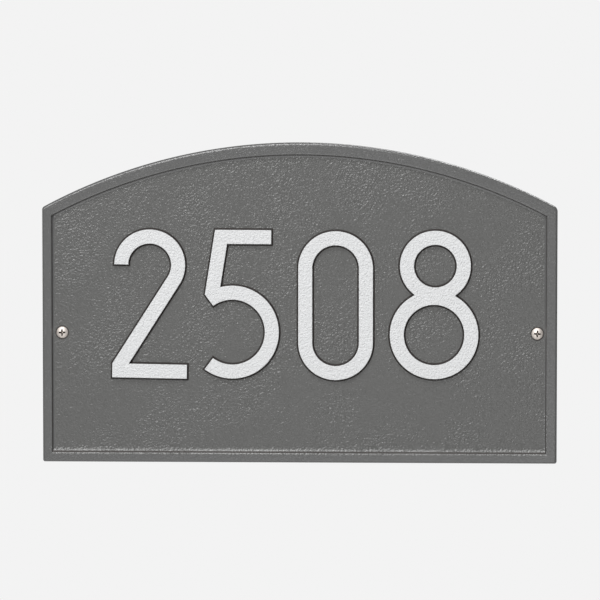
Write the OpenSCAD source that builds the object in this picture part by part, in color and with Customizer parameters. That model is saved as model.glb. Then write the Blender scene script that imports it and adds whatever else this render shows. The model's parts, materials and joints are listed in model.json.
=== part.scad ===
/* [Plaque] */
// Width across the straight sides
plaque_w = 355.6; // [320:0.1:400]
// Height of the straight sides
side_h = 176.5; // [165:0.1:210]
// Rise of the arched top above the shoulders
arch_rise = 44.8; // [35:0.1:60]
// Depth of the casting, from the wall to the face of the rim
casting_d = 9.5; // [8.5:0.1:13]
// Draft of the outer edge, in degrees
side_draft = 1.5; // [0.5:0.5:4]
// Round of the rim's outer edge on the sides and bottom
rim_round_r = 1.4; // [0.8:0.1:2]
// Round of the rim's outer edge on the arch
arch_round_r = 1.8; // [0.8:0.1:2.2]
// Plan radius of the two lower corners
corner_r = 1.2; // [0.8:0.1:4]
// Plan radius of the two shoulders under the arch
shoulder_r = 2; // [0.8:0.1:6]

/* [Rim and field] */
// Width of the rim on the sides and bottom, to the middle of its inner wall
rim_w = 7.2; // [5:0.1:8.4]
// Width of the rim under the arch, to the middle of its inner wall
arch_rim_w = 8.6; // [6:0.1:12]
// Drop from the face of the rim to the field
field_drop = 2.3; // [1.8:0.1:3]
// Draft of the rim's inner wall, in degrees
rim_draft = 12; // [5:1:20]
// Round of the rim's inner edge
rim_edge_r = 0.4; // [0.2:0.1:0.7]
// Fillet where the rim meets the field
rim_foot_r = 0.9; // [0.4:0.1:1]

/* [Back] */
// Depth of the hollow in the back
hollow_d = 2.4; // [1:0.1:3.2]
// Width of the land round the hollow, which lies on the wall
land_w = 10; // [9.5:0.5:20]
// Draft of the hollow's wall, in degrees
hollow_draft = 15; // [5:1:25]
// Fillet at the foot of the hollow's wall
hollow_foot_r = 1.2; // [0.4:0.1:1.4]
// Round of the hollow's edge
hollow_edge_r = 0.3; // [0.1:0.1:0.5]
// Diameter of the boss behind each screw hole
boss_d = 14; // [11:0.5:18]

/* [Numerals] */
// Height of the numerals
digit_h = 102.8; // [92:0.1:106]
// Width of a stroke across its painted face
stroke_w = 9.8; // [8:0.1:11]
// Height of the numerals' face above the field
relief = 2.3; // [1.8:0.1:3]
// Gap between neighbouring numerals
digit_gap = 12.4; // [8:0.1:16]
// Height of the baseline above the bottom edge
baseline_h = 57.9; // [45:0.1:65]
// Offset of the row of numerals from the middle of the plaque
row_shift = -3.2; // [-6:0.1:6]
// Draft of the strokes' walls, in degrees
stroke_draft = 10; // [5:1:15]
// Round of the strokes' upper edge
stroke_edge_r = 0.45; // [0.2:0.05:0.7]
// Fillet where a stroke meets the field
stroke_foot_r = 0.8; // [0.4:0.1:1]

/* [Screw holes] */
// Distance of a screw hole from the nearer side of the plaque
hole_inset = 13.8; // [13:0.1:20]
// Height of the holes above the bottom edge
hole_h = 89.9; // [60:0.1:120]
// Clearance of a screw hole across the screw's thread
hole_play = 0.8; // [0.4:0.1:1.4]
// Clearance of the spot face across the screw's head
spot_play = 1.5; // [0.8:0.1:1.6]
// Depth of the spot face
spot_deep = 0.4; // [0.2:0.1:0.8]

/* [Screws] */
// Length of a screw under its head
screw_l = 31.8; // [20:0.1:50]
// Diameter over the thread
thread_d = 4.2; // [3.8:0.1:4.6]
// Diameter of the plain shank between the head and the thread
plain_d = 3.6; // [3:0.1:3.7]
// Length of the point
point_l = 4.5; // [3:0.1:8]
// Width of the flat at the very tip
tip_d = 0.4; // [0.2:0.1:0.8]
// Diameter of the head
head_d = 7.9; // [7:0.1:8.6]
// Height of the head
head_h = 2.6; // [2.2:0.1:3.4]
// Height of the head's straight side
head_side_h = 0.7; // [0.4:0.1:1.2]
// Span of the cross recess
cross_w = 4.7; // [3.8:0.1:5.4]
// Width of one slot of the cross
slot_w = 1.1; // [0.8:0.1:1.3]
// Depth of the cross
cross_deep = 1.7; // [1.2:0.1:2]

/* [Hidden] */
$fn = 96;

// Overrun of every cut, and how far a raised form is sunk in what carries it
over = 1;
// Angle by which the two's bowl runs past its square end
over_a = 18;
// A flat wall and a round one that lean alike meet along a curve that can't be cut cleanly. So round walls
// lean more than flat ones by this angle, and their fillets and rounds have more facets.
lean_more = 3;
flat_steps = 2;
round_steps = 3;
// Facets in the round of an outer edge, flat or round, and in a corner of the plan
flat_edge_steps = 4;
round_edge_steps = 5;
corner_steps = 5;

half_w = plaque_w / 2;
plaque_h = side_h + arch_rise;
hole_span = plaque_w - 2 * hole_inset;
hole_d = thread_d + hole_play;
spot_d = head_d + spot_play;
field_h = casting_d - field_drop;
// The plain shank is as long as the casting is deep under the head, so the thread starts at the wall
plain_l = field_h - spot_deep;
arch_r = (half_w * half_w + arch_rise * arch_rise) / (2 * arch_rise);
arch_y = plaque_h - arch_r;

// Proportions of the numerals, as shares of their height
zero_w_share = 0.502;
two_w_share = 0.504;
two_bowl_share = 0.478;
two_bowl_shift_share = -0.01;
five_bowl_share = 0.626;
five_bar_left_share = 0.119;
five_bar_right_share = 0.259;
eight_low_share = 0.594;
eight_high_share = 0.475;
// Half the opening of the five's bowl, seen from its centre
five_open_a = 53.5;
// How the four numerals were set by hand: aside, up and turned clockwise
digit_aside_shares = [-0.001, -0.004, 0.007, -0.005];
digit_up_shares = [0.004, 0.003, -0.008, -0.001];
digit_turn = [1, 0.3, 0, 1];

zero_w = digit_h * zero_w_share;
two_w = digit_h * two_w_share;
five_r = digit_h * five_bowl_share / 2;
five_w = five_r * (1 + cos(five_open_a));
eight_w = digit_h * eight_low_share;
digit_w = [two_w, five_w, zero_w, eight_w];
row_w = digit_w[0] + digit_w[1] + digit_w[2] + digit_w[3] + 3 * digit_gap;

function arc_points(centre, r, from, to, steps) =
    [for (i = [0:steps]) let (a = from + (to - from) * i / steps) centre + r * [cos(a), sin(a)]];

function ahead(p, q) = 2 * q - p;

function turned_round(points) = [for (i = [len(points) - 1:-1:0]) points[i]];

// A cast wall in section, from the floor at height 0 up to the top at height h: fillet, drafted face, round.
// The metal is on the right, and the face crosses 0 at half its height.
function wall_points(h, draft, foot_r, edge_r, steps) =
    let (foot = [((foot_r - h / 2) * sin(draft) - foot_r) / cos(draft), foot_r],
         edge = [((h / 2 - edge_r) * sin(draft) + edge_r) / cos(draft), h - edge_r])
    concat(arc_points(foot, foot_r, 270, 360 - draft, steps),
           arc_points(edge, edge_r, 180 - draft, 90, steps));

// The casting's own edge in section, from the wall's plane to the face of the rim, with the metal on the left
function edge_points(draft, round_r, steps) =
    let (c = [(-round_r - (casting_d - round_r) * sin(draft)) / cos(draft), casting_d - round_r])
    concat([[0, 0]], arc_points(c, round_r, draft, 90, steps));

// A wall or edge whose first or last facet is carried on, to cross cleanly what is below or above it
function long_below(w) =
    let (p = ahead(w[1], w[0]))
    concat([[p.x, p.y - over], p], [for (i = [1:len(w) - 1]) w[i]]);
function long_above(w) =
    let (n = len(w) - 1, p = ahead(w[n - 1], w[n]))
    concat([for (i = [0:n - 1]) w[i]], [p, [p.x, p.y + over]]);

// The side of a stroke, measured outwards from the edge of its painted face
function stroke_side(draft, steps) =
    let (wall = wall_points(relief, draft, stroke_foot_r, stroke_edge_r, steps), edge_x = wall[steps + 1].x)
    long_below([for (p = wall) [edge_x - p.x, p.y]]);
// That of bowls and of the bars that run into them, and that of other bars and of square ends
round_side = stroke_side(stroke_draft + lean_more, round_steps);
flat_side = stroke_side(stroke_draft, flat_steps);

// Section of a whole stroke about its centre line
function stroke_points(side, w) =
    let (right = [for (p = side) [p.x + w / 2, p.y]])
    concat(right, turned_round([for (p = right) [-p.x, p.y]]));

// Section of what is cut away beyond the square end of a stroke
function beyond_points(reach) =
    let (end = long_above(flat_side), n = len(end) - 1)
    concat([[reach, end[0].y - over], [end[0].x, end[0].y - over]], end, [[reach, end[n].y]]);

// Plan of what is cut away outside a corner whose sides face the directions from and to
function corner_points(r, from, to) =
    let (arc = arc_points([0, 0], r, from, to, corner_steps),
         start = ahead(arc[1], arc[0]),
         end = ahead(arc[corner_steps - 1], arc[corner_steps]),
         middle = (from + to) / 2)
    concat([start], arc, [end, 3 * r * [cos(middle), sin(middle)]]);

// Runs a section along the Y axis, with its own X to the right and its own Y up
module run(length) {
    rotate([90, 0, 0]) linear_extrude(length, center = true) children();
}

// A form with the plaque's outline, moved in from it: what three sections have in common.
// One runs up the plaque with its two sides, one runs across it with its bottom, and one turns about the
// arch's centre. The first has the form's lower and upper faces, and the other two run past them.
module outlined(inset, arch_inset, side, bottom, arch) {
    right = [for (p = side) [half_w - inset + p.x, p.y]];
    low = bottom[0].y;
    high = bottom[len(bottom) - 1].y;
    intersection() {
        translate([0, plaque_h / 2, 0]) run(2 * plaque_h)
            polygon(concat(right, turned_round([for (p = right) [-p.x, p.y]])));
        rotate([0, 0, -90]) run(2 * plaque_w)
            polygon(concat([for (p = bottom) [p.x - inset, p.y]],
                           [[-2 * plaque_h, high], [-2 * plaque_h, low]]));
        translate([0, arch_y, 0]) rotate_extrude()
            polygon(concat([[0, arch[0].y]], [for (p = arch) [arch_r - arch_inset + p.x, p.y]],
                           [[0, arch[len(arch) - 1].y]]));
    }
}

module corner_cuts() {
    low = [half_w - corner_r, corner_r];
    // The shoulder's round touches the side and the arch
    high_x = half_w - shoulder_r;
    high_y = arch_y + sqrt(pow(arch_r - shoulder_r, 2) - pow(high_x, 2));
    arch_face_a = atan2(high_y - arch_y, high_x);
    for (side = [0, 1]) mirror([side, 0, 0]) translate([0, 0, -over]) {
        translate(low) linear_extrude(casting_d + 2 * over) polygon(corner_points(corner_r, -90, 0));
        translate([high_x, high_y]) linear_extrude(casting_d + 2 * over)
            polygon(corner_points(shoulder_r, 0, arch_face_a));
    }
}

module blank() {
    side = edge_points(side_draft, rim_round_r, flat_edge_steps);
    arch = edge_points(side_draft + lean_more, arch_round_r, round_edge_steps);
    difference() {
        outlined(0, 0, side, long_above(long_below(side)), long_above(long_below(arch)));
        corner_cuts();
    }
}

// A hollow of depth h, with its floor at height 0 and its mouth above
module hollow(h, draft, foot_r, edge_r, inset, arch_inset) {
    side = long_above(wall_points(h, draft, foot_r, edge_r, flat_steps));
    arch = long_above(wall_points(h, draft + lean_more, foot_r, edge_r, round_steps));
    outlined(inset, arch_inset, side, long_below(side), long_below(arch));
}

// The sunk field in front, inside the rim
module front_pocket() {
    translate([0, 0, field_h]) hollow(field_drop, rim_draft, rim_foot_r, rim_edge_r, rim_w, arch_rim_w);
}

// The hollow in the back, which is turned over
module back_pocket() {
    translate([0, 0, hollow_d]) mirror([0, 0, 1])
        hollow(hollow_d, hollow_draft, hollow_foot_r, hollow_edge_r, land_w, land_w);
}

module at_holes() {
    for (side = [-1, 1]) translate([side * hole_span / 2, hole_h, 0]) children();
}

module bar(length) {
    run(length) polygon(stroke_points(round_side, stroke_w));
}

// A bar whose back and ends are trimmed afterwards
module spare_bar(length) {
    run(length) polygon(stroke_points(flat_side, stroke_w + 2 * over));
}

module ring(r, from = 0, sweep = 360) {
    rotate([0, 0, from]) rotate_extrude(angle = sweep)
        translate([r, 0]) polygon(stroke_points(round_side, stroke_w));
}

// Cuts a stroke off along the Y axis, with the same drafted wall as its sides
module cut_off(length, reach) {
    run(length) polygon(beyond_points(reach));
}

module zero() {
    r = (zero_w - stroke_w) / 2;
    straight = digit_h - zero_w;
    translate([0, digit_h / 2, 0]) for (turn = [0, 180]) rotate([0, 0, turn]) {
        translate([0, straight / 2, 0]) ring(r, 0, 180);
        translate([r, 0, 0]) bar(straight);
    }
}

module eight() {
    low_r = eight_w / 2;
    high_r = digit_h * eight_high_share / 2;
    translate([0, low_r, 0]) ring(low_r - stroke_w / 2);
    translate([0, digit_h - high_r, 0]) ring(high_r - stroke_w / 2);
}

module five() {
    r = five_r - stroke_w / 2;
    left_x = -digit_h * five_bar_left_share;
    right_x = digit_h * five_bar_right_share;
    lip = five_r * [-cos(five_open_a), sin(five_open_a)];
    back = [left_x - lip.x, digit_h - five_r - lip.y];
    slant = atan(back.x / back.y);
    stem_l = norm(back) + over;
    translate([five_w / 2 - five_r, 0, 0]) difference() {
        union() {
            translate([0, five_r, 0]) ring(r);
            // The top bar is longer and deeper, and is trimmed with the stem
            translate([0, digit_h - stroke_w / 2 + over, 0]) rotate([0, 0, 90])
                spare_bar(2 * right_x + stroke_w);
            // The stem is wider on its back, where the slanted cut trims it
            translate([left_x, digit_h, 0]) rotate([0, 0, -slant])
                translate([stroke_w / 2 - over, -stem_l / 2, 0]) spare_bar(stem_l);
        }
        // The top edge and the top bar's square end
        translate([0, digit_h, 0]) rotate([0, 0, 90]) cut_off(3 * five_r, stroke_w);
        translate([right_x, digit_h - stroke_w / 2, 0]) cut_off(2 * stroke_w, stroke_w);
        // The slanted back of the stem
        translate([left_x, digit_h, 0]) rotate([0, 0, 180 - slant]) cut_off(3 * digit_h, digit_h);
        // The open side of the bowl, between two radial cuts
        translate([0, five_r, 0]) intersection() {
            rotate([0, 0, 90 - five_open_a + 180]) cut_off(4 * five_r, 2 * five_r);
            rotate([0, 0, five_open_a + 90]) cut_off(4 * five_r, 2 * five_r);
        }
    }
}

module two() {
    bowl_r = digit_h * two_bowl_share / 2;
    r = bowl_r - stroke_w / 2;
    bowl = [digit_h * two_bowl_shift_share, digit_h - bowl_r];
    foot = [-two_w / 2, stroke_w];
    // The diagonal runs from the foot's corner, as a tangent to the inside of the bowl
    away = bowl - foot;
    lean = atan(away.x / away.y) + asin((bowl_r - stroke_w) / norm(away));
    long = norm(away) + stroke_w;
    difference() {
        union() {
            translate(bowl) ring(r, -lean, 180 + lean + over_a);
            translate(bowl) rotate([0, 0, -lean]) translate([r, -long / 2, 0]) bar(long);
            // The foot is longer and deeper, and is trimmed with the diagonal
            translate([0, stroke_w / 2 - over, 0]) rotate([0, 0, 90]) spare_bar(two_w + 2 * stroke_w);
        }
        translate([bowl.x - r, bowl.y, 0]) rotate([0, 0, -90]) cut_off(2 * stroke_w, stroke_w);
        translate([two_w / 2, stroke_w / 2, 0]) cut_off(2 * stroke_w, 3 * stroke_w);
        translate([-two_w / 2, 0, 0]) rotate([0, 0, 180]) cut_off(4 * stroke_w, 3 * stroke_w);
        rotate([0, 0, -90]) cut_off(3 * two_w, 3 * stroke_w);
    }
}

// The four numerals in a row on the field, each set a little by hand
module numerals() {
    for (i = [0:3]) {
        before = i == 0 ? 0 : i == 1 ? digit_w[0] : i == 2 ? digit_w[0] + digit_w[1]
            : digit_w[0] + digit_w[1] + digit_w[2];
        x = row_shift - row_w / 2 + before + i * digit_gap + digit_w[i] / 2;
        translate([x + digit_aside_shares[i] * digit_h, baseline_h + digit_up_shares[i] * digit_h, field_h])
            rotate([0, 0, -digit_turn[i]]) {
                if (i == 0) two();
                if (i == 1) five();
                if (i == 2) zero();
                if (i == 3) eight();
            }
    }
}

// The casting as it lies on its back, with its numerals up
module casting() {
    difference() {
        union() {
            difference() {
                blank();
                front_pocket();
                back_pocket();
            }
            at_holes() cylinder(d = boss_d, h = hollow_d + over);
            numerals();
        }
        at_holes() {
            translate([0, 0, -over]) cylinder(d = hole_d, h = casting_d + 2 * over);
            translate([0, 0, field_h - spot_deep]) cylinder(d = spot_d, h = spot_deep + over);
        }
    }
}

// A pan head wood screw, point down, with the seat of its head at height 0
module screw() {
    head_r = head_d / 2;
    crown = head_h - head_side_h;
    dome_r = (crown * crown + head_r * head_r) / (2 * crown);
    difference() {
        union() {
            intersection() {
                cylinder(r = head_r, h = head_h);
                translate([0, 0, head_h - dome_r]) sphere(r = dome_r);
            }
            translate([0, 0, -plain_l]) cylinder(d = plain_d, h = plain_l + head_side_h / 2);
            translate([0, 0, point_l - screw_l]) cylinder(d = thread_d, h = screw_l - point_l - plain_l);
            translate([0, 0, -screw_l]) cylinder(d1 = tip_d, d2 = thread_d, h = point_l);
        }
        translate([0, 0, head_h - cross_deep]) intersection() {
            cylinder(d1 = slot_w, d2 = cross_w * (1 + over / cross_deep), h = cross_deep + over);
            for (turn = [0, 90]) rotate([0, 0, turn])
                translate([-cross_w, -slot_w / 2, 0]) cube([2 * cross_w, slot_w, cross_deep + over]);
        }
    }
}

// Stands what was modelled lying down up against the wall, with its bottom edge at height 0
module against_wall() {
    rotate([90, 0, 0]) children();
}

module plaque() {
    color("dimgray") against_wall() casting();
}

module placed_screw(side) {
    color("silver") against_wall()
        translate([side * hole_span / 2, hole_h, field_h - spot_deep]) screw();
}

module screw_left() {
    placed_screw(-1);
}

module screw_right() {
    placed_screw(1);
}

plaque();
screw_left();
screw_right();
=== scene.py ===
# %% [markdown]
# # A cast house number plaque
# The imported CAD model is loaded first. It gives the exact size and place of the casting and of its two
# screws, and it stays as it is.

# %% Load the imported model
import json
import math
import bmesh
import bpy
import mathutils
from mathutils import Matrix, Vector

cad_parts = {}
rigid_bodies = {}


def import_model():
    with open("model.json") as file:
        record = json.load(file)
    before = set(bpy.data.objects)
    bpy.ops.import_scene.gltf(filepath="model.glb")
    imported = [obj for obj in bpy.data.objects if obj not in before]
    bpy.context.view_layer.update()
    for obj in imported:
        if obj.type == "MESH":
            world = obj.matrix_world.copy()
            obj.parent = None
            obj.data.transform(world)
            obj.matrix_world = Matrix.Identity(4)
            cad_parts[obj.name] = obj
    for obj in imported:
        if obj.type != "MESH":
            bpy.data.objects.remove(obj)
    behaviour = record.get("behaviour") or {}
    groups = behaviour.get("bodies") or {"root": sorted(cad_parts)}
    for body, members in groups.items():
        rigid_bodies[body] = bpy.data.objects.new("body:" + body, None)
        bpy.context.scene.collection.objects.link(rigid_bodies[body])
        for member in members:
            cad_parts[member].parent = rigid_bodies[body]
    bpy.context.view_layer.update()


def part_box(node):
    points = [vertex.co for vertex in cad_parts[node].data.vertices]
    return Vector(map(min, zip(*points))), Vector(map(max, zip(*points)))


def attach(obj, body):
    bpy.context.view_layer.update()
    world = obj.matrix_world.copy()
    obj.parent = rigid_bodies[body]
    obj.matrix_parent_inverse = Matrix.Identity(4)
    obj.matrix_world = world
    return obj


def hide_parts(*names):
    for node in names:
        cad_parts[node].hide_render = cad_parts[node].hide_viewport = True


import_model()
low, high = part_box("plaque")
print("casting", [round(v * 1000, 1) for v in low], [round(v * 1000, 1) for v in high])

# %% [markdown]
# ## The camera
# The photograph looks almost straight at the plaque through a long lens, from a little above and a little
# to the right. The lens is worked out from the distance, so that the square frame takes in 413.3 mm.

# %% Camera
view_w, view_far = 0.4133, 2.5
view_up, view_right = math.radians(3.5), math.radians(2.5)
aim = (0.0007, low.y, 0.1129)
bpy.ops.object.camera_add(
    location=(aim[0] + view_far * math.sin(view_right) * math.cos(view_up),
              aim[1] - view_far * math.cos(view_right) * math.cos(view_up),
              aim[2] + view_far * math.sin(view_up)),
    rotation=(math.pi / 2 - view_up, 0, view_right))
camera = bpy.context.active_object
camera.data.sensor_width = 36
camera.data.lens = 36 * view_far / view_w
bpy.context.scene.camera = camera
print("lens", round(camera.data.lens), "mm at", view_far, "m")

# %% [markdown]
# ## Helpers
# An operator works on all that is selected, so each helper starts from nothing selected. `pick` selects
# faces, edges or vertices in code, by a test on their place or direction, where a person would click.

# %% Helpers for pieces
def only(piece):
    if bpy.context.mode != "OBJECT":
        bpy.ops.object.mode_set(mode="OBJECT")
    bpy.ops.object.select_all(action="DESELECT")
    piece.select_set(True)
    bpy.context.view_layer.objects.active = piece
    return piece


def settle(piece):
    """Puts a piece's place, turn and scale into its mesh."""
    only(piece)
    bpy.ops.object.transform_apply(location=True, rotation=True, scale=True)
    return piece


def edit(piece, kind="FACE"):
    only(piece)
    bpy.ops.object.mode_set(mode="EDIT")
    bpy.ops.mesh.select_mode(type=kind)
    bpy.ops.mesh.select_all(action="DESELECT")


def pick(piece, kind, test):
    edit(piece, kind)
    mesh = bmesh.from_edit_mesh(piece.data)
    mesh.normal_update()
    items = {"FACE": mesh.faces, "EDGE": mesh.edges, "VERT": mesh.verts}[kind]
    found = [item for item in items if test(item)]
    for item in found:
        item.select_set(True)
    mesh.select_flush_mode()
    bmesh.update_edit_mesh(piece.data)
    return len(found)


def sweep(angle, center, steps):
    """Spins what is selected about an upright axis. Spin turns clockwise, and this counts the other way."""
    bpy.ops.mesh.spin(steps=steps, angle=-math.radians(angle), center=(*center, 0), axis=(0, 0, 1))


def push(x=0, y=0, z=0):
    bpy.ops.mesh.extrude_region_move(TRANSFORM_OT_translate={"value": (x, y, z)})


def finish_edit(piece):
    bpy.ops.mesh.select_all(action="SELECT")
    bpy.ops.mesh.normals_make_consistent(inside=False)
    bpy.ops.object.mode_set(mode="OBJECT")
    return piece


def boolean(piece, tool, operation):
    only(piece)
    step = piece.modifiers.new("boolean", "BOOLEAN")
    step.operation, step.solver, step.object = operation, "EXACT", tool
    bpy.ops.object.modifier_apply(modifier=step.name)
    bpy.data.objects.remove(tool)
    return piece


def open_edges(piece):
    mesh = bmesh.new()
    mesh.from_mesh(piece.data)
    count = sum(len(edge.link_faces) != 2 for edge in mesh.edges)
    mesh.free()
    return count

# %% [markdown]
# ## A cast wall
# A sand cast wall is never square: it leans, so the pattern can be drawn from the sand, and it has a fillet
# at its foot and a small round at its edge. `wall_steps` lists the moves from the foot up to the edge, each
# one a distance in and a distance up, so that Inset can make the wall step by step from a flat outline.

# %% Steps of a cast wall
MM = 0.001
over = 1 * MM


def wall_steps(height, draft, foot_r, edge_r, parts=4):
    lean = math.radians(draft)
    turns = [math.radians(-90) + i / parts * (math.pi / 2 - lean) for i in range(parts + 1)]
    foot = [(foot_r * math.cos(a), foot_r + foot_r * math.sin(a)) for a in turns]
    turns = [math.pi - lean - i / parts * (math.pi / 2 - lean) for i in range(parts + 1)]
    edge = [(edge_r * math.cos(a), height - edge_r + edge_r * math.sin(a)) for a in turns]
    rise = edge[0][1] - foot[-1][1]
    shift = foot[-1][0] + rise * math.tan(lean) - edge[0][0]
    points = foot + [(x + shift, z) for x, z in edge]
    return [(b[0] - a[0], b[1] - a[1]) for a, b in zip(points, points[1:])]


def climb(steps):
    """Makes a wall round the selected region with one Inset per step."""
    for across, up in steps:
        bpy.ops.mesh.inset(thickness=across, depth=up, use_even_offset=True, use_boundary=True)


print("a wall 2.3 mm high takes", len(wall_steps(2.3 * MM, 10, 0.8 * MM, 0.45 * MM)), "steps")

# %% [markdown]
# ## The plate, lying on its back
# The casting is modelled as it would lie on a bench: x to the right, y up the plate and z out of the wall.
# Its outline is a rectangle with an arc on top. A plane gives the rectangle, and Spin turns its upper right
# corner about the arch's centre, which is far below the plate, over to the upper left corner.

# %% Outline
plate_w, side_h, plate_h, plate_d = high.x - low.x, 176.5 * MM, high.z - low.z, high.y - low.y
half_w, rise = plate_w / 2, plate_h - side_h
arch_r = (half_w ** 2 + rise ** 2) / (2 * rise)
arch_y = plate_h - arch_r
arch_half_a = math.asin(half_w / arch_r)

bpy.ops.mesh.primitive_plane_add(size=1, location=(0, side_h / 2, 0))
plate = bpy.context.active_object
plate.name = "house_number_casting"
plate.scale = (plate_w, side_h, 1)
settle(plate)
pick(plate, "VERT", lambda v: v.co.x > 0 and v.co.y > over)
sweep(math.degrees(2 * arch_half_a), (0, arch_y), 96)
bpy.ops.mesh.select_all(action="SELECT")
bpy.ops.mesh.remove_doubles(threshold=0.01 * MM)
pick(plate, "EDGE", lambda e: e.is_wire or min(v.co.y for v in e.verts) > over)
bpy.ops.mesh.edge_face_add()
pick(plate, "EDGE", lambda e: len(e.link_faces) == 2)
bpy.ops.mesh.dissolve_edges(use_verts=False)
finish_edit(plate)
print("outline:", len(plate.data.polygons), "face with", len(plate.data.edges), "edges")

# %% [markdown]
# ## Rim, field and hollow back
# Every wall follows the same outline, only moved in. Inset can't do that here, because the arch is wider than
# its corners allow, so each step is an Extrude of no height whose new outline is then set in place: `inset`
# from the sides and bottom, `arch_inset` from the arch, and `z` above the wall. The same number of corners
# goes round every time, so all the faces are clean four sided strips that meet on a line in the corners.
# `aside` moves the whole line sideways, and `lift` moves its lower side up.

# %% Steps round the outline
def next_outline(inset, arch_inset, z, aside=0.0, lift=0.0):
    push()
    mesh = bmesh.from_edit_mesh(plate.data)
    line = [v for v in mesh.verts if v.select]
    corners = [v for v in line if v.co.y < side_h / 2]
    curve = [v for v in line if v.co.y > side_h / 2]
    last_aside = sum(v.co.x for v in corners) / len(corners)
    widest = max(math.atan2(v.co.x - last_aside, v.co.y - arch_y) for v in curve)
    w, r = half_w - inset, arch_r - arch_inset
    for v in corners:
        v.co = (math.copysign(w, v.co.x) + aside, inset + lift, z)
    for v in curve:
        a = math.atan2(v.co.x - last_aside, v.co.y - arch_y) / widest * math.asin(w / r)
        v.co = (r * math.sin(a) + aside, arch_y + r * math.cos(a), z)
    bmesh.update_edit_mesh(plate.data)


def outer_points(height, draft, round_r, parts=4):
    lean = math.radians(draft)
    centre = (round_r + (height - round_r) * math.sin(lean)) / math.cos(lean)
    turns = [lean + i / parts * (math.pi / 2 - lean) for i in range(parts + 1)]
    return [(centre - round_r * math.cos(a), height - round_r + round_r * math.sin(a)) for a in turns]

# %% [markdown]
# The front goes up the outer side and over its round, across the rim, which is a little wider under the
# arch, and down the inner wall to the field, which lies a hair left of the middle. Along the lower edge that
# wall leans back more than elsewhere, by `foot_lean`, so from the front it shows as two bright lines with a
# dark one between them, made darker by painted shade on its middle. The back has a 10 mm wide land that lies
# on the wall. Inside it the metal is hollowed, which saves weight and lets the plate sit flat on a rough wall.

# %% Front and back of the plate
side_draft, side_round_r = 2, 1.6 * MM
rim_w, arch_rim_w, rim_draft, rim_foot_r, rim_edge_r = 7.5 * MM, 8.6 * MM, 12, 1.5 * MM, 1.0 * MM
field_drop, field_aside, foot_lean, foot_mid = 2.3 * MM, -0.4 * MM, 0.8, 1.3 * MM
land_w, hollow_d, hollow_draft, hollow_foot_r, hollow_edge_r = 10 * MM, 2.4 * MM, 15, 1.2 * MM, 0.3 * MM
field_z = plate_d - field_drop


def rim_line(inset, z):
    """One line of the rim's inner wall. Its lower side moves up as the wall goes down to the field."""
    next_outline(inset, inset + arch_rim_w - rim_w, z, field_aside, foot_lean * (field_z + foot_mid - z))


pick(plate, "FACE", lambda f: True)
for inset, z in outer_points(plate_d, side_draft, side_round_r):
    next_outline(inset, inset, z)
down = wall_steps(field_drop, rim_draft, rim_foot_r, rim_edge_r)[::-1]
inset = rim_w - sum(across for across, up in down) / 2 + 0.1 * MM
rim_line(inset, z)
for across, up in down:
    inset, z = inset + across, z - up
    rim_line(inset, z)
print("field at", round(z / MM, 2), "mm")

finish_edit(plate)
pick(plate, "FACE", lambda f: f.normal.z < -0.9)
down = wall_steps(hollow_d, hollow_draft, hollow_foot_r, hollow_edge_r)[::-1]
inset, z = land_w - sum(across for across, up in down) / 2 + 0.4 * MM, 0
next_outline(inset, inset, z)
for across, up in down:
    inset, z = inset + across, z + up
    next_outline(inset, inset, z)
finish_edit(plate)
print("plate", [round(v / MM, 2) for v in plate.dimensions], "mm,", open_edges(plate), "open edges")

# %% [markdown]
# The four corners are still sharp in plan. Bevel rounds the lines that run up them over the outer side. The
# upper right corner of the real one is rounder than the others, as if it had been filed after casting.

# %% Round corners
def corner_line(edge):
    places = [(abs(v.co.x), v.co.y, v.co.z) for v in edge.verts]
    length = edge.calc_length()
    across = max(p[0] for p in places) > half_w - 2 * MM and abs(places[0][2] - places[1][2]) > 0.01 * MM
    return across and length < plate_d and all(p[1] < 2 * MM or p[1] > side_h - 4 * MM for p in places)


def upper_right(edge):
    return all(v.co.x > 0 and v.co.y > side_h / 2 for v in edge.verts)


for offset, segments, rounder in ((2.4 * MM, 6, True), (1.2 * MM, 4, False)):
    count = pick(plate, "EDGE", lambda e: corner_line(e) and upper_right(e) == rounder)
    bpy.ops.mesh.bevel(offset=offset, segments=segments, affect="EDGES")
    finish_edit(plate)
    print(count, "corner lines rounded;", open_edges(plate), "open edges")

# %% [markdown]
# ## The paints
# The whole casting is sprayed a satin grey, and only the faces of the numerals get silver. Six materials tell
# the skins apart: the pebbled field, the smooth rim and back, the silver faces, a darker grey of painted shade
# for the grooves, a near black of painted shade for the numerals' walls and the middle of the lower rim wall,
# and the glossy rounds. They are made here as names only, because every piece of the casting carries the same
# list before it is joined. The capital names are their places in that list.

# %% Material list
field_grey, smooth_grey, silver, groove_shade_grey, wall_shade_grey, edge_grey, steel, recess_shade_steel = (
    bpy.data.materials.new(name) for name in (
        "grey_paint_on_pebbled_field", "grey_paint_on_smooth_casting", "silver_paint_on_numerals",
        "painted_shade_grey_in_grooves", "painted_shade_on_steep_walls", "glossy_grey_paint_on_rounds",
        "screw_steel", "painted_shade_in_the_recess"))


FIELD, SMOOTH, SILVER, GROOVE_SHADE, WALL_SHADE, ROUND = range(6)
paints = (field_grey, smooth_grey, silver, groove_shade_grey, wall_shade_grey, edge_grey)


def list_paints(piece, materials=paints):
    piece.data.materials.clear()
    for material in materials:
        piece.data.materials.append(material)


def paint_faces(piece, index, test):
    for face in piece.data.polygons:
        if test(face):
            face.material_index = index


list_paints(plate)
paint_faces(plate, SMOOTH, lambda f: True)
paint_faces(plate, FIELD, lambda f: f.normal.z > 0.99 and abs(f.center.z - field_z) < 0.01 * MM)
print(len(paints), "paints on the casting")

# %% [markdown]
# ## A grid on the field
# The field gets its pebbled relief as real shape, and one flat face can't bend. So it is cut into small cells
# while the plate is still simple. Bisect cuts only what is selected, and adds its new corners to the
# neighbouring fillet as well, so the plate stays closed. A plain grid mesh would have to be sewn in by hand.

# %% Cut the field into cells
cell = 1.5 * MM


def select_field():
    plate.active_material_index = FIELD
    bpy.ops.object.material_slot_select()


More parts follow.
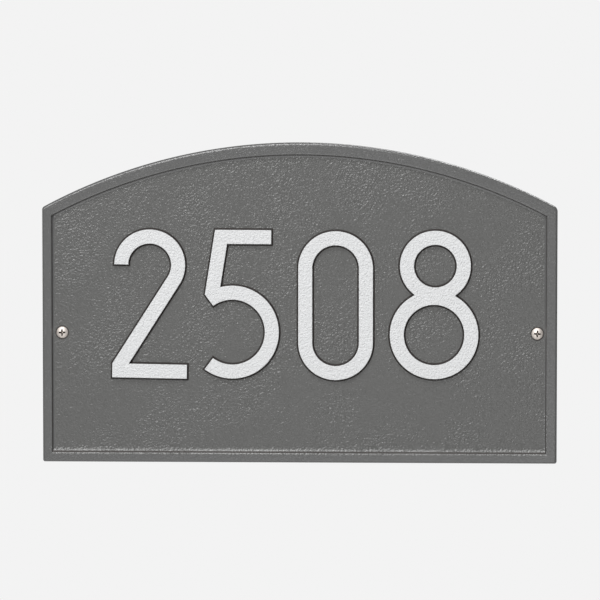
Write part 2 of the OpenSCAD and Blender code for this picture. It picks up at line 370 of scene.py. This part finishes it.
edit(plate)
across = [-half_w + rim_w + cell * (k + 0.5) for k in range(int(2 * (half_w - rim_w) / cell))]
upward = [rim_w + cell * (k + 0.5) for k in range(int((plate_h - rim_w - arch_rim_w) / cell))]
for place, facing in [((x, 0, 0), (1, 0, 0)) for x in across] + [((0, y, 0), (0, 1, 0)) for y in upward]:
    select_field()
    bpy.ops.mesh.bisect(plane_co=place, plane_no=facing, threshold=over / 1e4)
bpy.ops.object.mode_set(mode="OBJECT")
print("field cut by", len(across) + len(upward), "planes:", len(plate.data.polygons), "faces,",
      open_edges(plate), "open edges")

# %% [markdown]
# ## The numerals
# Each numeral is drawn with one stroke, 9.8 mm wide. Its footprint comes first, as a flat solid as wide as
# the foot of its walls: Extrude makes the straight strokes, Spin the round ones, and Boolean joins them and
# trims the square ends. Then Inset climbs from that footprint to the painted face in small steps, which gives
# all the walls, inside and out, the same lean, fillet and round, with true mitres in every corner.

# %% Stroke helpers
digit_h, stroke_w, relief = 102.8 * MM, 9.8 * MM, 2.3 * MM
proud, stroke_draft, stroke_foot_r, stroke_edge_r = 0.02 * MM, 10, 1.0 * MM, 0.4 * MM
stroke_steps = wall_steps(relief - proud, stroke_draft, stroke_foot_r, stroke_edge_r)
skirt = sum(across for across, up in stroke_steps[:-4])
foot_w = stroke_w + 2 * skirt
mid_z, slab_h = (proud - over) / 2, proud + over


def upright(edge):
    return abs(edge.verts[0].co.z - edge.verts[1].co.z) > slab_h / 2


def start_stroke(x, y, turn=0.0, hollow=False):
    """A stroke's cross section, standing at x, y and facing along the stroke, ready to be pushed or swept."""
    bpy.ops.mesh.primitive_plane_add(
        size=1, location=(x, y, mid_z), rotation=(math.pi / 2, 0, math.radians(turn)))
    piece = bpy.context.active_object
    piece.scale = (foot_w, slab_h, 1)
    settle(piece)
    pick(piece, "FACE", lambda f: True)
    if hollow:
        bpy.ops.mesh.delete(type="ONLY_FACE")
        bpy.ops.mesh.select_mode(type="EDGE")
        bpy.ops.mesh.select_all(action="SELECT")
    return piece


def end_stroke(piece):
    bpy.ops.mesh.select_all(action="SELECT")
    bpy.ops.mesh.remove_doubles(threshold=0.001 * MM)
    return finish_edit(piece)


def block(x0, x1, y0, y1, deep=slab_h):
    """A block between those sides: a bar, or a tool that trims when it is made deeper."""
    bpy.ops.mesh.primitive_cube_add(size=1, location=((x0 + x1) / 2, (y0 + y1) / 2, mid_z))
    piece = bpy.context.active_object
    piece.scale = (x1 - x0, y1 - y0, deep)
    return settle(piece)


def rotate(piece, degrees, about=(0, 0)):
    """Turns a piece on the bench. With no window the operator turns clockwise, so the angle is negated."""
    edit(piece)
    bpy.ops.mesh.select_all(action="SELECT")
    bpy.ops.transform.rotate(value=-math.radians(degrees), orient_axis="Z", center_override=(*about, 0))
    bpy.ops.object.mode_set(mode="OBJECT")
    return piece


def merge_flat(piece):
    """Clears the crossing lines that Boolean leaves where two flat tops were in one plane."""
    edit(piece)
    bpy.ops.mesh.select_all(action="SELECT")
    bpy.ops.mesh.remove_doubles(threshold=0.005 * MM)
    bpy.ops.mesh.dissolve_limited(angle_limit=math.radians(0.1))
    return finish_edit(piece)


def clear_corners(piece, near=2 * MM):
    """Inset carries an outward corner past its close neighbours, so those are taken out of the outline."""
    mesh = bmesh.new()
    mesh.from_mesh(piece.data)
    bend = math.radians(15)
    sharp = [e.verts[0].co.xy for e in mesh.edges if upright(e) and e.calc_face_angle_signed(0) > bend]
    mesh.free()
    count = pick(piece, "EDGE", lambda e: upright(e) and e.calc_face_angle(0) < bend
                 and any((e.verts[0].co.xy - s).length < near for s in sharp))
    bpy.ops.mesh.dissolve_edges(use_verts=True)
    finish_edit(piece)
    return count


def trim(piece, x, y, turn):
    """Cuts away all beyond an upright plane through x, y that faces the direction turn, and closes the cut."""
    edit(piece)
    bpy.ops.mesh.select_all(action="SELECT")
    facing = (math.cos(math.radians(turn)), math.sin(math.radians(turn)), 0)
    bpy.ops.mesh.bisect(
        plane_co=(x, y, 0), plane_no=facing, use_fill=True, clear_outer=True, threshold=over / 1e4)
    return finish_edit(piece)


print("stroke", round(stroke_w / MM, 1), "mm wide on top,", round(foot_w / MM, 2), "mm at its foot")

# %% [markdown]
# The zero is one closed stroke: up, half a turn, down and half a turn. The eight is two rings, and the lower
# one is bigger. Their sizes, and those of the five and the two, are measured on the photograph as shares of
# the numerals' height.

# %% Zero and eight
half_turn_steps, ring_steps = 48, 96
zero_w = 0.502 * digit_h
zero_r, straight = (zero_w - stroke_w) / 2, digit_h - zero_w
zero = start_stroke(zero_r, zero_w / 2, hollow=True)
push(y=straight)
sweep(180, (0, digit_h - zero_w / 2), half_turn_steps)
push(y=-straight)
sweep(180, (0, zero_w / 2), half_turn_steps)
end_stroke(zero)

eight_low, eight_high, eight_short = 0.594 * digit_h / 2, 0.475 * digit_h / 2, 0.4 * MM


def closed_ring(radius, y):
    ring = start_stroke(radius - stroke_w / 2, y, hollow=True)
    sweep(360, (0, y), ring_steps)
    return end_stroke(ring)


eight = closed_ring(eight_low, eight_low)
boolean(eight, closed_ring(eight_high, digit_h - eight_short - eight_high), "UNION")
merge_flat(eight)
print("open edges: zero", open_edges(zero), "eight", open_edges(eight))

# %% [markdown]
# The five has a ring, a bar on top and a leaning stem. The stem's back is cut to a slant that runs from the
# corner of the bar to the lip of the bowl, and the bowl is opened between two cuts that point at its centre.

# %% Five
five_r, open_a = 0.626 * digit_h / 2, 53.5
five_w = five_r * (1 + math.cos(math.radians(open_a)))
bar_left, bar_right = -0.119 * digit_h, 0.259 * digit_h
lip = (-five_r * math.cos(math.radians(open_a)), five_r * (1 + math.sin(math.radians(open_a))))
slant = math.degrees(math.atan2(bar_left - lip[0], digit_h - lip[1]))
stem_l = math.hypot(bar_left - lip[0], digit_h - lip[1])

five = closed_ring(five_r, five_r)
stem = block(bar_left - stroke_w / 2, bar_left + stroke_w + skirt, digit_h - stem_l - over, digit_h + stroke_w)
boolean(five, rotate(stem, -slant, (bar_left, digit_h)), "UNION")
boolean(five, block(bar_left, bar_right + skirt, digit_h - stroke_w - skirt, digit_h + 2 * skirt), "UNION")

# The tool that opens the bowl: a three sided prism, as long as `reach`, whose tip has the opening's angle.
reach = 2 * five_r
bpy.ops.mesh.primitive_cylinder_add(vertices=3, radius=1, depth=2 * slab_h, location=(0, 0, mid_z))
opening = bpy.context.active_object
opening.scale = (reach * math.tan(math.radians(open_a)) / math.sin(math.radians(60)), reach / 1.5, 1)
settle(opening)
rotate(opening, -90)
edit(opening)
bpy.ops.mesh.select_all(action="SELECT")
tip = max(v.co.x for v in bmesh.from_edit_mesh(opening.data).verts)
bpy.ops.transform.translate(value=(-tip - skirt / math.sin(math.radians(open_a)), five_r, 0))
boolean(five, opening, "DIFFERENCE")
trim(five, 0, digit_h + skirt, 90)
trim(five, bar_left - skirt * math.cos(math.radians(slant)),
     digit_h + skirt * math.sin(math.radians(slant)), 180 - slant)
merge_flat(five)
five.location.x = five_w / 2 - five_r
settle(five)
print("five", [round(v / MM, 1) for v in five.dimensions], "mm,", open_edges(five), "open edges")

# %% [markdown]
# The two is a long stroke, up the diagonal and round the bowl, on a bar. The bowl runs on a little past its
# square end, and is cut off level.

# %% Two
two_w, bowl_r, bowl_run_on, bowl_steps = 0.504 * digit_h, 0.478 * digit_h / 2, 18, 54
bowl = (-0.01 * digit_h, digit_h - bowl_r)
corner = (-two_w / 2, stroke_w)
away = math.hypot(bowl[0] - corner[0], bowl[1] - corner[1])
lean = math.atan2(bowl[0] - corner[0], bowl[1] - corner[1]) + math.asin((bowl_r - stroke_w) / away)
along, across = math.sin(lean), math.cos(lean)
ring_r, diagonal = bowl_r - stroke_w / 2, away + 3 * stroke_w

two = start_stroke(bowl[0] + ring_r * across - diagonal * along,
                   bowl[1] - ring_r * along - diagonal * across, -math.degrees(lean))
push(x=diagonal * along, y=diagonal * across)
sweep(180 + math.degrees(lean) + bowl_run_on, bowl, bowl_steps)
end_stroke(two)
boolean(two, block(stroke_w / 2 - two_w / 2, two_w / 2 + skirt, -stroke_w, stroke_w + skirt), "UNION")
left_end = bowl[0] - ring_r
end_y = bowl[1] - skirt
end_cut = block(left_end - stroke_w, left_end + stroke_w, end_y - 2 * stroke_w, end_y, 2 * slab_h)
boolean(two, end_cut, "DIFFERENCE")
trim(two, -two_w / 2 - skirt, 0, 180)
trim(two, 0, -skirt, 270)
merge_flat(two)
print("two", [round(v / MM, 1) for v in two.dimensions], "mm,", open_edges(two), "open edges")

# %% [markdown]
# Now each footprint climbs to its face. The last three steps are silver too, because that paint just reaches
# over the round. Each numeral is then set on the field, a little out of line, as it was on the real pattern:
# the table gives how far it lies to the right and up, as shares of its height, and its turn in degrees.

# %% Walls, paint and place of each numeral
silver_steps = 3


def raise_numeral(piece, name):
    piece.name = name
    list_paints(piece)
    paint_faces(piece, SMOOTH, lambda f: True)
    cleared = clear_corners(piece)
    pick(piece, "FACE", lambda f: f.normal.z > 0.99 and f.calc_center_median().z > 0)
    climb(stroke_steps[:-silver_steps])
    mesh = bmesh.from_edit_mesh(piece.data)
    for face in mesh.faces:
        if face.select:
            face.material_index = SILVER
    bmesh.update_edit_mesh(piece.data)
    climb(stroke_steps[-silver_steps:])
    finish_edit(piece)
    print(name, "cleared", cleared, "points,", len(piece.data.polygons), "faces,", open_edges(piece),
          "open edges, top at", round(max(v.co.z for v in piece.data.vertices) / MM, 3))


numerals = [(two, "two", two_w, -0.001, 0.006, 1), (five, "five", five_w, -0.003, 0.004, 0.3),
            (zero, "zero", zero_w, 0.007, -0.0035, 0), (eight, "eight", 2 * eight_low, -0.007, 0.005, 1)]
gap, baseline, row_mid = 12.4 * MM, 57.9 * MM, -2.75 * MM
row_w = sum(width for _, _, width, *_ in numerals) + (len(numerals) - 1) * gap
x = row_mid - row_w / 2
for piece, name, width, aside, up, turn in numerals:
    raise_numeral(piece, name)
    rotate(piece, -turn)
    piece.location = (x + width / 2 + aside * digit_h, baseline + up * digit_h, field_z)
    settle(piece)
    x += width + gap
    boolean(plate, piece, "UNION")
print("plate with numerals:", len(plate.data.polygons), "faces,", open_edges(plate), "open edges")

# %% [markdown]
# ## Seats for the screws
# A screw passes through a hole in a boss that stands in the hollow, as deep as the wall side land, so the
# screw doesn't bend the plate. On the front a shallow spot face gives its head a flat seat in the pebbled
# field. One turned tool cuts both. It is made as a lathe would: a disc, extruded and resized ring by ring.
# The step down to the seat gets the grooves' painted shade, a darker grey.

# %% Bosses, holes and spot faces
def turned(points, sides=64):
    (r0, z0), *rest = points
    bpy.ops.mesh.primitive_circle_add(vertices=sides, radius=r0, fill_type="NGON", location=(0, 0, z0))
    piece = settle(bpy.context.active_object)
    pick(piece, "FACE", lambda f: True)
    for r, z in rest:
        push(z=z - z0)
        bpy.ops.transform.resize(value=(r / r0, r / r0, 1), center_override=(0, 0, 0))
        r0, z0 = r, z
    return finish_edit(piece)


def put(piece, x, y):
    piece.location = (x, y, 0)
    return settle(piece)


def in_seat(face):
    near = min((face.center.xy - mathutils.Vector((x, hole_y))).length for x in (-hole_x, hole_x))
    step = seat_z - 0.05 * MM < face.center.z < field_z - 0.02 * MM
    return face.material_index in (FIELD, SMOOTH) and step and near < spot_r + 0.1 * MM


hole_x, hole_y, hole_r, lead_in = 164 * MM, 89.9 * MM, 2.5 * MM, 0.3 * MM
spot_r, spot_soft, seat_z = 4.7 * MM, 0.15 * MM, field_z - 0.4 * MM
boss = [(7 * MM, 0.05 * MM), (7.2 * MM, 3.4 * MM)]
seat = [(hole_r + lead_in, -over), (hole_r + lead_in, 0), (hole_r, lead_in), (hole_r, seat_z),
        (spot_r - spot_soft, seat_z), (spot_r, seat_z + spot_soft), (spot_r, field_z - 0.1 * MM),
        (spot_r + spot_soft, field_z + 0.05 * MM), (spot_r + spot_soft, plate_d)]
for x in (-hole_x, hole_x):
    boolean(plate, put(turned(boss), x, hole_y), "UNION")
    boolean(plate, put(turned(seat), x, hole_y), "DIFFERENCE")
# Painted shade: the darker groove grey on the step down to each seat.
paint_faces(plate, GROOVE_SHADE, in_seat)
print("with seats:", len(plate.data.polygons), "faces,", open_edges(plate), "open edges")

# %% [markdown]
# ## Relief of the field
# A sand mould prints its grain on the metal. Displace moves the cells in and out by a soft procedural noise.
# It works only on a vertex group that stops one cell short of every wall, so all the feet stay closed and
# true. The finest grain is too small for a mesh and comes later, as bump in the paint.

# %% Displace the field
edit(plate)
select_field()
bpy.ops.mesh.select_less()
bpy.ops.object.vertex_group_add()
bpy.ops.object.vertex_group_assign()
bpy.ops.object.mode_set(mode="OBJECT")
relief_noise = bpy.data.textures.new("sand_relief", "CLOUDS")
relief_noise.noise_scale, relief_noise.noise_depth = 2.6 * MM, 1
step = plate.modifiers.new("relief", "DISPLACE")
step.texture, step.texture_coords, step.direction = relief_noise, "LOCAL", "Z"
step.vertex_group, step.mid_level, step.strength = plate.vertex_groups[0].name, 0.5, 0.1 * MM
bpy.ops.object.modifier_apply(modifier=step.name)
plate.vertex_groups.clear()
field_faces = [f for f in plate.data.polygons if f.material_index == FIELD and f.center.z > seat_z]
heights = [plate.data.vertices[k].co.z / MM for f in field_faces for k in f.vertices]
print("field from", round(min(heights), 2), "to", round(max(heights), 2), "mm,", len(field_faces), "faces,",
      open_edges(plate), "open edges")

# %% [markdown]
# ## Painted shade on the walls
# The steep walls get painted shade, a darker and duller grey or a near black, and the rounds a glossier grey.
# So each face of a wall gets its paint by how steep it is, `steep` being the most that its direction may point
# outwards. The numerals' walls, well inside the rim, come first. The rim's follow, and the leaning lower one
# has
# its own limits: painted shade in the middle, and the field's grain on its rounds.

# %% Painted shade on the walls
def steep_wall(face, margin, steep):
    """A wall above the field, at least that margin inside the outline, with faces steeper than that."""
    x, y, z = face.center
    inside = abs(x) < half_w - margin and y > margin and math.hypot(x, y - arch_y) < arch_r - margin - 1 * MM
    return face.material_index == SMOOTH and inside and face.normal.z < steep and field_z < z < plate_d


def lower_wall(face):
    return face.center.y < numeral_margin and abs(face.normal.x) < 0.1


rim_margin, numeral_margin = 5 * MM, 10 * MM
# Painted shade: the numerals' steep walls get the near black, the rim's steep walls the darker groove grey,
# and the lower rim wall the near black in its middle.
paint_faces(plate, WALL_SHADE, lambda f: steep_wall(f, numeral_margin, 0.99))
for paint, steep in ((WALL_SHADE, 0.74), (GROOVE_SHADE, 0.8), (FIELD, 0.99)):
    paint_faces(plate, paint, lambda f: steep_wall(f, rim_margin, steep) and lower_wall(f))
for paint, steep in ((GROOVE_SHADE, 0.5), (ROUND, 0.99)):
    paint_faces(plate, paint, lambda f: steep_wall(f, rim_margin, steep))
used = [f.material_index for f in plate.data.polygons]
print("faces in each paint:", [used.count(k) for k in range(len(paints))])

# %% [markdown]
# ## Smooth shading and standing up
# Smooth by angle keeps the true corners sharp, and Weighted Normal lets the big flat faces keep their own
# direction, so that the small rounds beside them catch the light and the flats don't look pillowy. Then the
# casting is stood up, the right way for a piece that hangs on a wall, and takes the place of its CAD node.

# %% Shade, stand up, ride
def shade(piece, degrees=32):
    only(piece)
    bpy.ops.object.shade_smooth_by_angle(angle=math.radians(degrees))
    step = piece.modifiers.new("weighted", "WEIGHTED_NORMAL")
    step.keep_sharp = True
    bpy.ops.object.modifier_apply(modifier=step.name)


def stand_up(piece):
    piece.rotation_euler = (math.pi / 2, 0, 0)
    return settle(piece)


shade(stand_up(plate))
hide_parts("plaque")
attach(plate, "root")
print(plate.name, [round(v / MM, 1) for v in plate.dimensions], "mm")

# %% [markdown]
# ## The screws
# A pan head screw of bright steel holds each end. The head and plain shank are turned in one. The thread is a
# single tooth's outline that the Screw modifier winds down, pulled in to a point at its end.

# %% Head and shank
head_r, head_h, side_l, shank_r, dome_steps = 3.95 * MM, 2.6 * MM, 0.7 * MM, 1.8 * MM, 12
dome_h = head_h - side_l
dome_r = (head_r ** 2 + dome_h ** 2) / (2 * dome_h)
dome_a = math.asin(head_r / dome_r)
turns = [dome_a * k / dome_steps for k in range(dome_steps, 0, -1)]
dome = [(dome_r * math.sin(a), seat_z + head_h - dome_r * (1 - math.cos(a))) for a in turns]
screw = turned([(shank_r - 0.2 * MM, -0.8 * MM), (shank_r, -0.6 * MM), (shank_r, seat_z),
                (head_r - 0.2 * MM, seat_z), (head_r, seat_z + 0.2 * MM)] + dome)
print("blank", [round(v / MM, 2) for v in screw.dimensions], "mm,", open_edges(screw), "open edges")

# %% [markdown]
# The cross recess is pressed by a punch with two tapered blades. Each blade is a block whose lower end is made
# smaller, and a short cone clears the middle. Blocks and a Boolean are enough, because the real one is a
# press tool's plain shape too.

# %% Cross recess
cross_span, cross_w, cross_deep = 4.7 * MM, 1.1 * MM, 1.7 * MM
blade_top, blade_foot = (1.5, 1.35), (0.42, 0.5, 1)
head_top = seat_z + head_h


def blade(turn, deep):
    bpy.ops.mesh.primitive_cube_add(size=1, location=(0, 0, head_top - deep / 2 + over / 2))
    piece = bpy.context.active_object
    piece.scale = (blade_top[0] * cross_span, blade_top[1] * cross_w, deep + over)
    settle(piece)
    pick(piece, "FACE", lambda f: f.normal.z < -0.9)
    bpy.ops.transform.resize(value=blade_foot, center_override=(0, 0, 0))
    finish_edit(piece)
    return rotate(piece, turn)


for turn, deep in ((0, cross_deep), (90, cross_deep - 0.02 * MM)):
    boolean(screw, blade(turn, deep), "DIFFERENCE")
recess_z = head_top - cross_deep
cone = [(0.3 * MM, recess_z - 0.3 * MM), (0.95 * MM, recess_z + 0.5 * MM), (1.15 * MM, head_top + over)]
boolean(screw, turned(cone, 24), "DIFFERENCE")
print("with recess:", len(screw.data.polygons), "faces,", open_edges(screw), "open edges")

# %% [markdown]
# The thread is rolled, so it is one even ridge on a core. Screw winds the tooth's outline, given as radius
# and share of the pitch, in a closed helix, which a stack of cones couldn't show. Both ends are cut off flat,
# and every point near the lower end is drawn in towards the middle, as the die does to make the point.

# %% Thread and point
thread_r, core_r, pitch, point_l, tip_r = 2.1 * MM, 1.45 * MM, 1.7 * MM, 4.5 * MM, 0.2 * MM
thread_steps, thread_top = 24, -0.3 * MM
screw_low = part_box("screw_left")[1].y
bpy.ops.mesh.primitive_plane_add(size=1)
thread = bpy.context.active_object
edit(thread, "VERT")
mesh = bmesh.from_edit_mesh(thread.data)
bmesh.ops.delete(mesh, geom=mesh.verts[:], context="VERTS")
profile = [(core_r, 0), (core_r, 0.42), (thread_r, 0.66), (thread_r, 0.74), (core_r, 1)]
points = [mesh.verts.new((r, 0, -screw_low - pitch + k * pitch)) for r, k in profile]
for a, b in zip(points, points[1:]):
    mesh.edges.new((a, b))
bmesh.update_edit_mesh(thread.data)
bpy.ops.object.mode_set(mode="OBJECT")
step = thread.modifiers.new("wind", "SCREW")
step.screw_offset, step.angle, step.steps, step.render_steps = pitch, 2 * math.pi, thread_steps, thread_steps
step.iterations = math.ceil((screw_low + 0.4 * MM) / pitch) + 1
step.use_merge_vertices, step.merge_threshold = True, 0.001 * MM
bpy.ops.object.modifier_apply(modifier=step.name)
edit(thread)
bpy.ops.mesh.select_all(action="SELECT")
bpy.ops.mesh.remove_doubles(threshold=0.001 * MM)
finish_edit(thread)
for z, facing in ((-screw_low, -1), (thread_top, 1)):
    edit(thread)
    bpy.ops.mesh.select_all(action="SELECT")
    bpy.ops.mesh.bisect(
        plane_co=(0, 0, z), plane_no=(0, 0, facing), use_fill=True, clear_outer=True, threshold=over / 1e4)
    finish_edit(thread)
for vertex in thread.data.vertices:
    below = max(0, -screw_low + point_l - vertex.co.z) / point_l
    vertex.co.xy *= 1 - below * (1 - tip_r / thread_r)
print("thread", [round(v / MM, 2) for v in thread.dimensions], "mm,", open_edges(thread), "open edges")
boolean(screw, thread, "UNION")
print("screw", [round(v / MM, 2) for v in screw.dimensions], "mm,", len(screw.data.polygons), "faces,",
      open_edges(screw), "open edges")

# %% [markdown]
# ## Two screws in their seats
# The screw is modelled once and copied, each copy with its own mesh, and driven home at its own angle, as
# two real ones never stop alike. The recess's arms get painted shade, a dark steel, for the shade that falls
# in so deep and narrow a slot.

# %% Two screws in their seats
BRIGHT, RECESS_SHADE = range(2)


def in_recess_shade(face):
    """The walls and floors of the four arms, which get painted shade, but not the cone in the middle, which
    stays plain steel.
    """
    r, z = face.center.xy.length, face.center.z
    wall = face.normal.z < 0.86 and z < head_top - 0.1 * MM
    floor = z < head_top - 1.1 * MM
    return z > seat_z + 0.3 * MM and 0.55 * MM < r < 0.54 * cross_span and (wall or floor)


list_paints(screw, (steel, recess_shade_steel))
paint_faces(screw, BRIGHT, lambda f: True)
# Painted shade: the arms of the recess get dark steel.
paint_faces(screw, RECESS_SHADE, in_recess_shade)
for name, x, turn in (("screw_left", -hole_x, 2), ("screw_right", hole_x, -4)):
    only(screw)
    bpy.ops.object.duplicate()
    one = bpy.context.active_object
    one.name = "pan_head_" + name
    shade(stand_up(put(rotate(one, turn), x, hole_y)), 35)
    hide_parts(name)
    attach(one, "root")
bpy.data.objects.remove(screw)

# %% [markdown]
# ## Finishes
# All patterns are made by nodes on Object coordinates, which are metres here because each piece sits at the
# origin unscaled. A feature 2.5 mm wide needs a noise scale near 400. `add` makes one node and sets its
# sockets or its settings by name.

# %% Node helpers
def nodes_of(material):
    material.use_nodes = True
    tree = material.node_tree
    shader = tree.nodes["Principled BSDF"]
    place = tree.nodes.new("ShaderNodeTexCoord").outputs["Object"]
    return tree, shader, place


def add(tree, kind, link=None, **values):
    node = tree.nodes.new("ShaderNode" + kind)
    for key, value in values.items():
        if key in node.inputs:
            node.inputs[key].default_value = value
        else:
            setattr(node, key, value)
    if link:
        tree.links.new(link[0], node.inputs[link[1]])
    return node

# %% [markdown]
# ## Grey paint
# The real coat is one grey, sprayed over the print of the sand. A flat colour would look like plastic, so
# each layer of noise tilts the surface a little, and the gloss does the rest: it catches the softbox on one
# side of every grain. A slow second noise makes the grain stronger in patches. Only tone, gloss and depth
# change from field to rim, groove, round and wall, so one function serves all five.

# %% Grey paint
def grey_paint(material, tone, layers, rough=0.32, shine=0.7):
    """A layer is a noise, its scale, depth in mm and detail, the scale of its patches, and its least share."""
    tree, shader, place = nodes_of(material)
    shader.inputs["Base Color"].default_value = (*tone, 1)
    shader.inputs["Roughness"].default_value = rough
    shader.inputs["Specular IOR Level"].default_value = shine
    normal = None
    for kind, scale, depth, detail, patch_scale, least in layers:
        noise = add(tree, "TexNoise", (place, "Vector"),
                    noise_type=kind, Scale=scale, Detail=detail, Roughness=0.5)
        bump = add(tree, "Bump", (noise.outputs["Fac"], "Height"), Distance=depth * MM)
        spread = add(tree, "TexNoise", (place, "Vector"), Scale=patch_scale, Detail=2.0)
        patch = add(tree, "MapRange", (spread.outputs["Fac"], "Value"))
        for socket, value in (("From Min", 0.42), ("From Max", 0.62), ("To Min", least), ("To Max", 1.0)):
            patch.inputs[socket].default_value = value
        tree.links.new(patch.outputs["Result"], bump.inputs["Strength"])
        if normal:
            tree.links.new(normal, bump.inputs["Normal"])
        normal = bump.outputs["Normal"]
    tree.links.new(normal, shader.inputs["Normal"])


grey_paint(field_grey, (0.0945, 0.0945, 0.0915),
           (("FBM", 740, 0.69, 1.0, 28, 0.52), ("RIDGED_MULTIFRACTAL", 360, 0.12, 0.0, 33, 0.1)))
grey_paint(smooth_grey, (0.107, 0.107, 0.106),
           (("FBM", 900, 0.28, 1.0, 28, 0.6), ("FBM", 400, 0.1, 1.0, 24, 0.3)), 0.26)
# Painted shade: the groove grey and the near black wall grey are darker than the casting's own grey, for the
# shade on steep walls.
grey_paint(groove_shade_grey, (0.058, 0.053, 0.050), (("FBM", 620, 0.4, 2.0, 28, 0.6),), 0.5, 0.4)
grey_paint(edge_grey, (0.107, 0.107, 0.106), (("FBM", 900, 0.18, 1.0, 28, 0.6),), 0.2, 0.9)
grey_paint(wall_shade_grey, (0.030, 0.026, 0.024), (("FBM", 620, 0.4, 2.0, 28, 0.6),), 0.65, 0.25)
print("grey paints:", [m.name for m in paints if m != silver])

# %% [markdown]
# ## Silver paint
# The faces of the numerals are rolled with a pale silver that is nearly white in soft light. It is a paint and
# not a metal, so it stays matt and not metallic, and a fine bump gives it the orange peel of a roller.

# %% Silver paint
tree, shader, place = nodes_of(silver)
shader.inputs["Base Color"].default_value = (0.706, 0.712, 0.718, 1)
shader.inputs["Roughness"].default_value = 0.5
noise = add(tree, "TexNoise", (place, "Vector"), Scale=880.0, Detail=2.0, Roughness=0.6)
bump = add(tree, "Bump", (noise.outputs["Fac"], "Height"), Strength=1.0, Distance=1.1 * MM)
tree.links.new(bump.outputs["Normal"], shader.inputs["Normal"])

print("silver paint:", silver.name)

# %% [markdown]
# ## Steel
# The screws are bright pressed steel with a warm cast. High roughness spreads their shine as a pressed
# surface does, and a very shallow noise keeps it from looking turned. The arms of the recess get painted
# shade: the same metal, darkened.

# %% Steel
tree, shader, place = nodes_of(steel)
shader.inputs["Base Color"].default_value = (0.88, 0.82, 0.77, 1)
shader.inputs["Metallic"].default_value = 1.0
shader.inputs["Roughness"].default_value = 0.66
noise = add(tree, "TexNoise", (place, "Vector"), Scale=900.0, Detail=2.0)
bump = add(tree, "Bump", (noise.outputs["Fac"], "Height"), Distance=0.05 * MM)
tree.links.new(bump.outputs["Normal"], shader.inputs["Normal"])

# Painted shade: a near black, less metallic steel for the recess's arms.
tree, shader, place = nodes_of(recess_shade_steel)
shader.inputs["Base Color"].default_value = (0.035, 0.023, 0.014, 1)
shader.inputs["Metallic"].default_value = 0.2
shader.inputs["Roughness"].default_value = 0.7
print("steel:", steel.name, recess_shade_steel.name)

# %% [markdown]
# ## Light and background
# The background is one even pale grey. A world that is lighter for the camera than for the light it gives
# keeps it so. A big soft light above and to the left draws the relief, one overhead lights the rounds that
# face up, and two weak ones fill the shade below and behind. Every lamp points at the plaque's middle.

# %% Light
def light(name, place, size, power):
    bpy.ops.object.light_add(type="AREA", location=place)
    lamp = bpy.context.active_object
    lamp.name = name
    lamp.data.shape, lamp.data.size, lamp.data.energy = "DISK", size, power
    away = mathutils.Vector(place) - mathutils.Vector(middle)
    lamp.rotation_euler = away.to_track_quat("Z", "Y").to_euler()
    print(name, size, "m wide,", power, "W")


middle = (0, 0, 0.11)
light("softbox", (-1.2, -3.3, 2.0), 2.0, 88)
light("overhead", (-0.3, -1.3, 2.4), 1.0, 40)
light("low_fill", (0.4, -3.4, -1.2), 2.0, 18)
light("behind", (0.6, 2.0, 1.6), 1.4, 24)

world = bpy.data.worlds.new("studio")
bpy.context.scene.world = world
world.use_nodes = True
tree = world.node_tree
seen_grey, given_grey = 0.896, 0.19
seen = tree.nodes["Background"]
seen.inputs["Color"].default_value = (seen_grey, seen_grey, seen_grey, 1)
given = add(tree, "Background", Color=(given_grey, given_grey, given_grey, 1))
path = add(tree, "LightPath")
mix = add(tree, "MixShader", (path.outputs["Is Camera Ray"], 0))
tree.links.new(given.outputs[0], mix.inputs[1])
tree.links.new(seen.outputs[0], mix.inputs[2])
tree.links.new(mix.outputs[0], tree.nodes["World Output"].inputs["Surface"])
bpy.context.scene.view_settings.view_transform = "Standard"

# %% [markdown]
# ## Floor
# The plaque hangs on a wall that the photograph leaves out. A pale round floor well below it only throws
# light back up, and is staged, so it isn't part of the object.

# %% Floor
floor_r, floor_z = 1.5, -0.6
bpy.ops.mesh.primitive_circle_add(vertices=96, radius=floor_r, fill_type="NGON", location=(0, 0, floor_z))
floor = bpy.context.active_object
floor.name = "floor"
settle(floor)
pale = bpy.data.materials.new("pale_floor")
tree, shader, place = nodes_of(pale)
shader.inputs["Base Color"].default_value = (0.86, 0.86, 0.86, 1)
floor.data.materials.append(pale)
print("floor", 2 * floor_r, "m wide at", floor_z, "m")
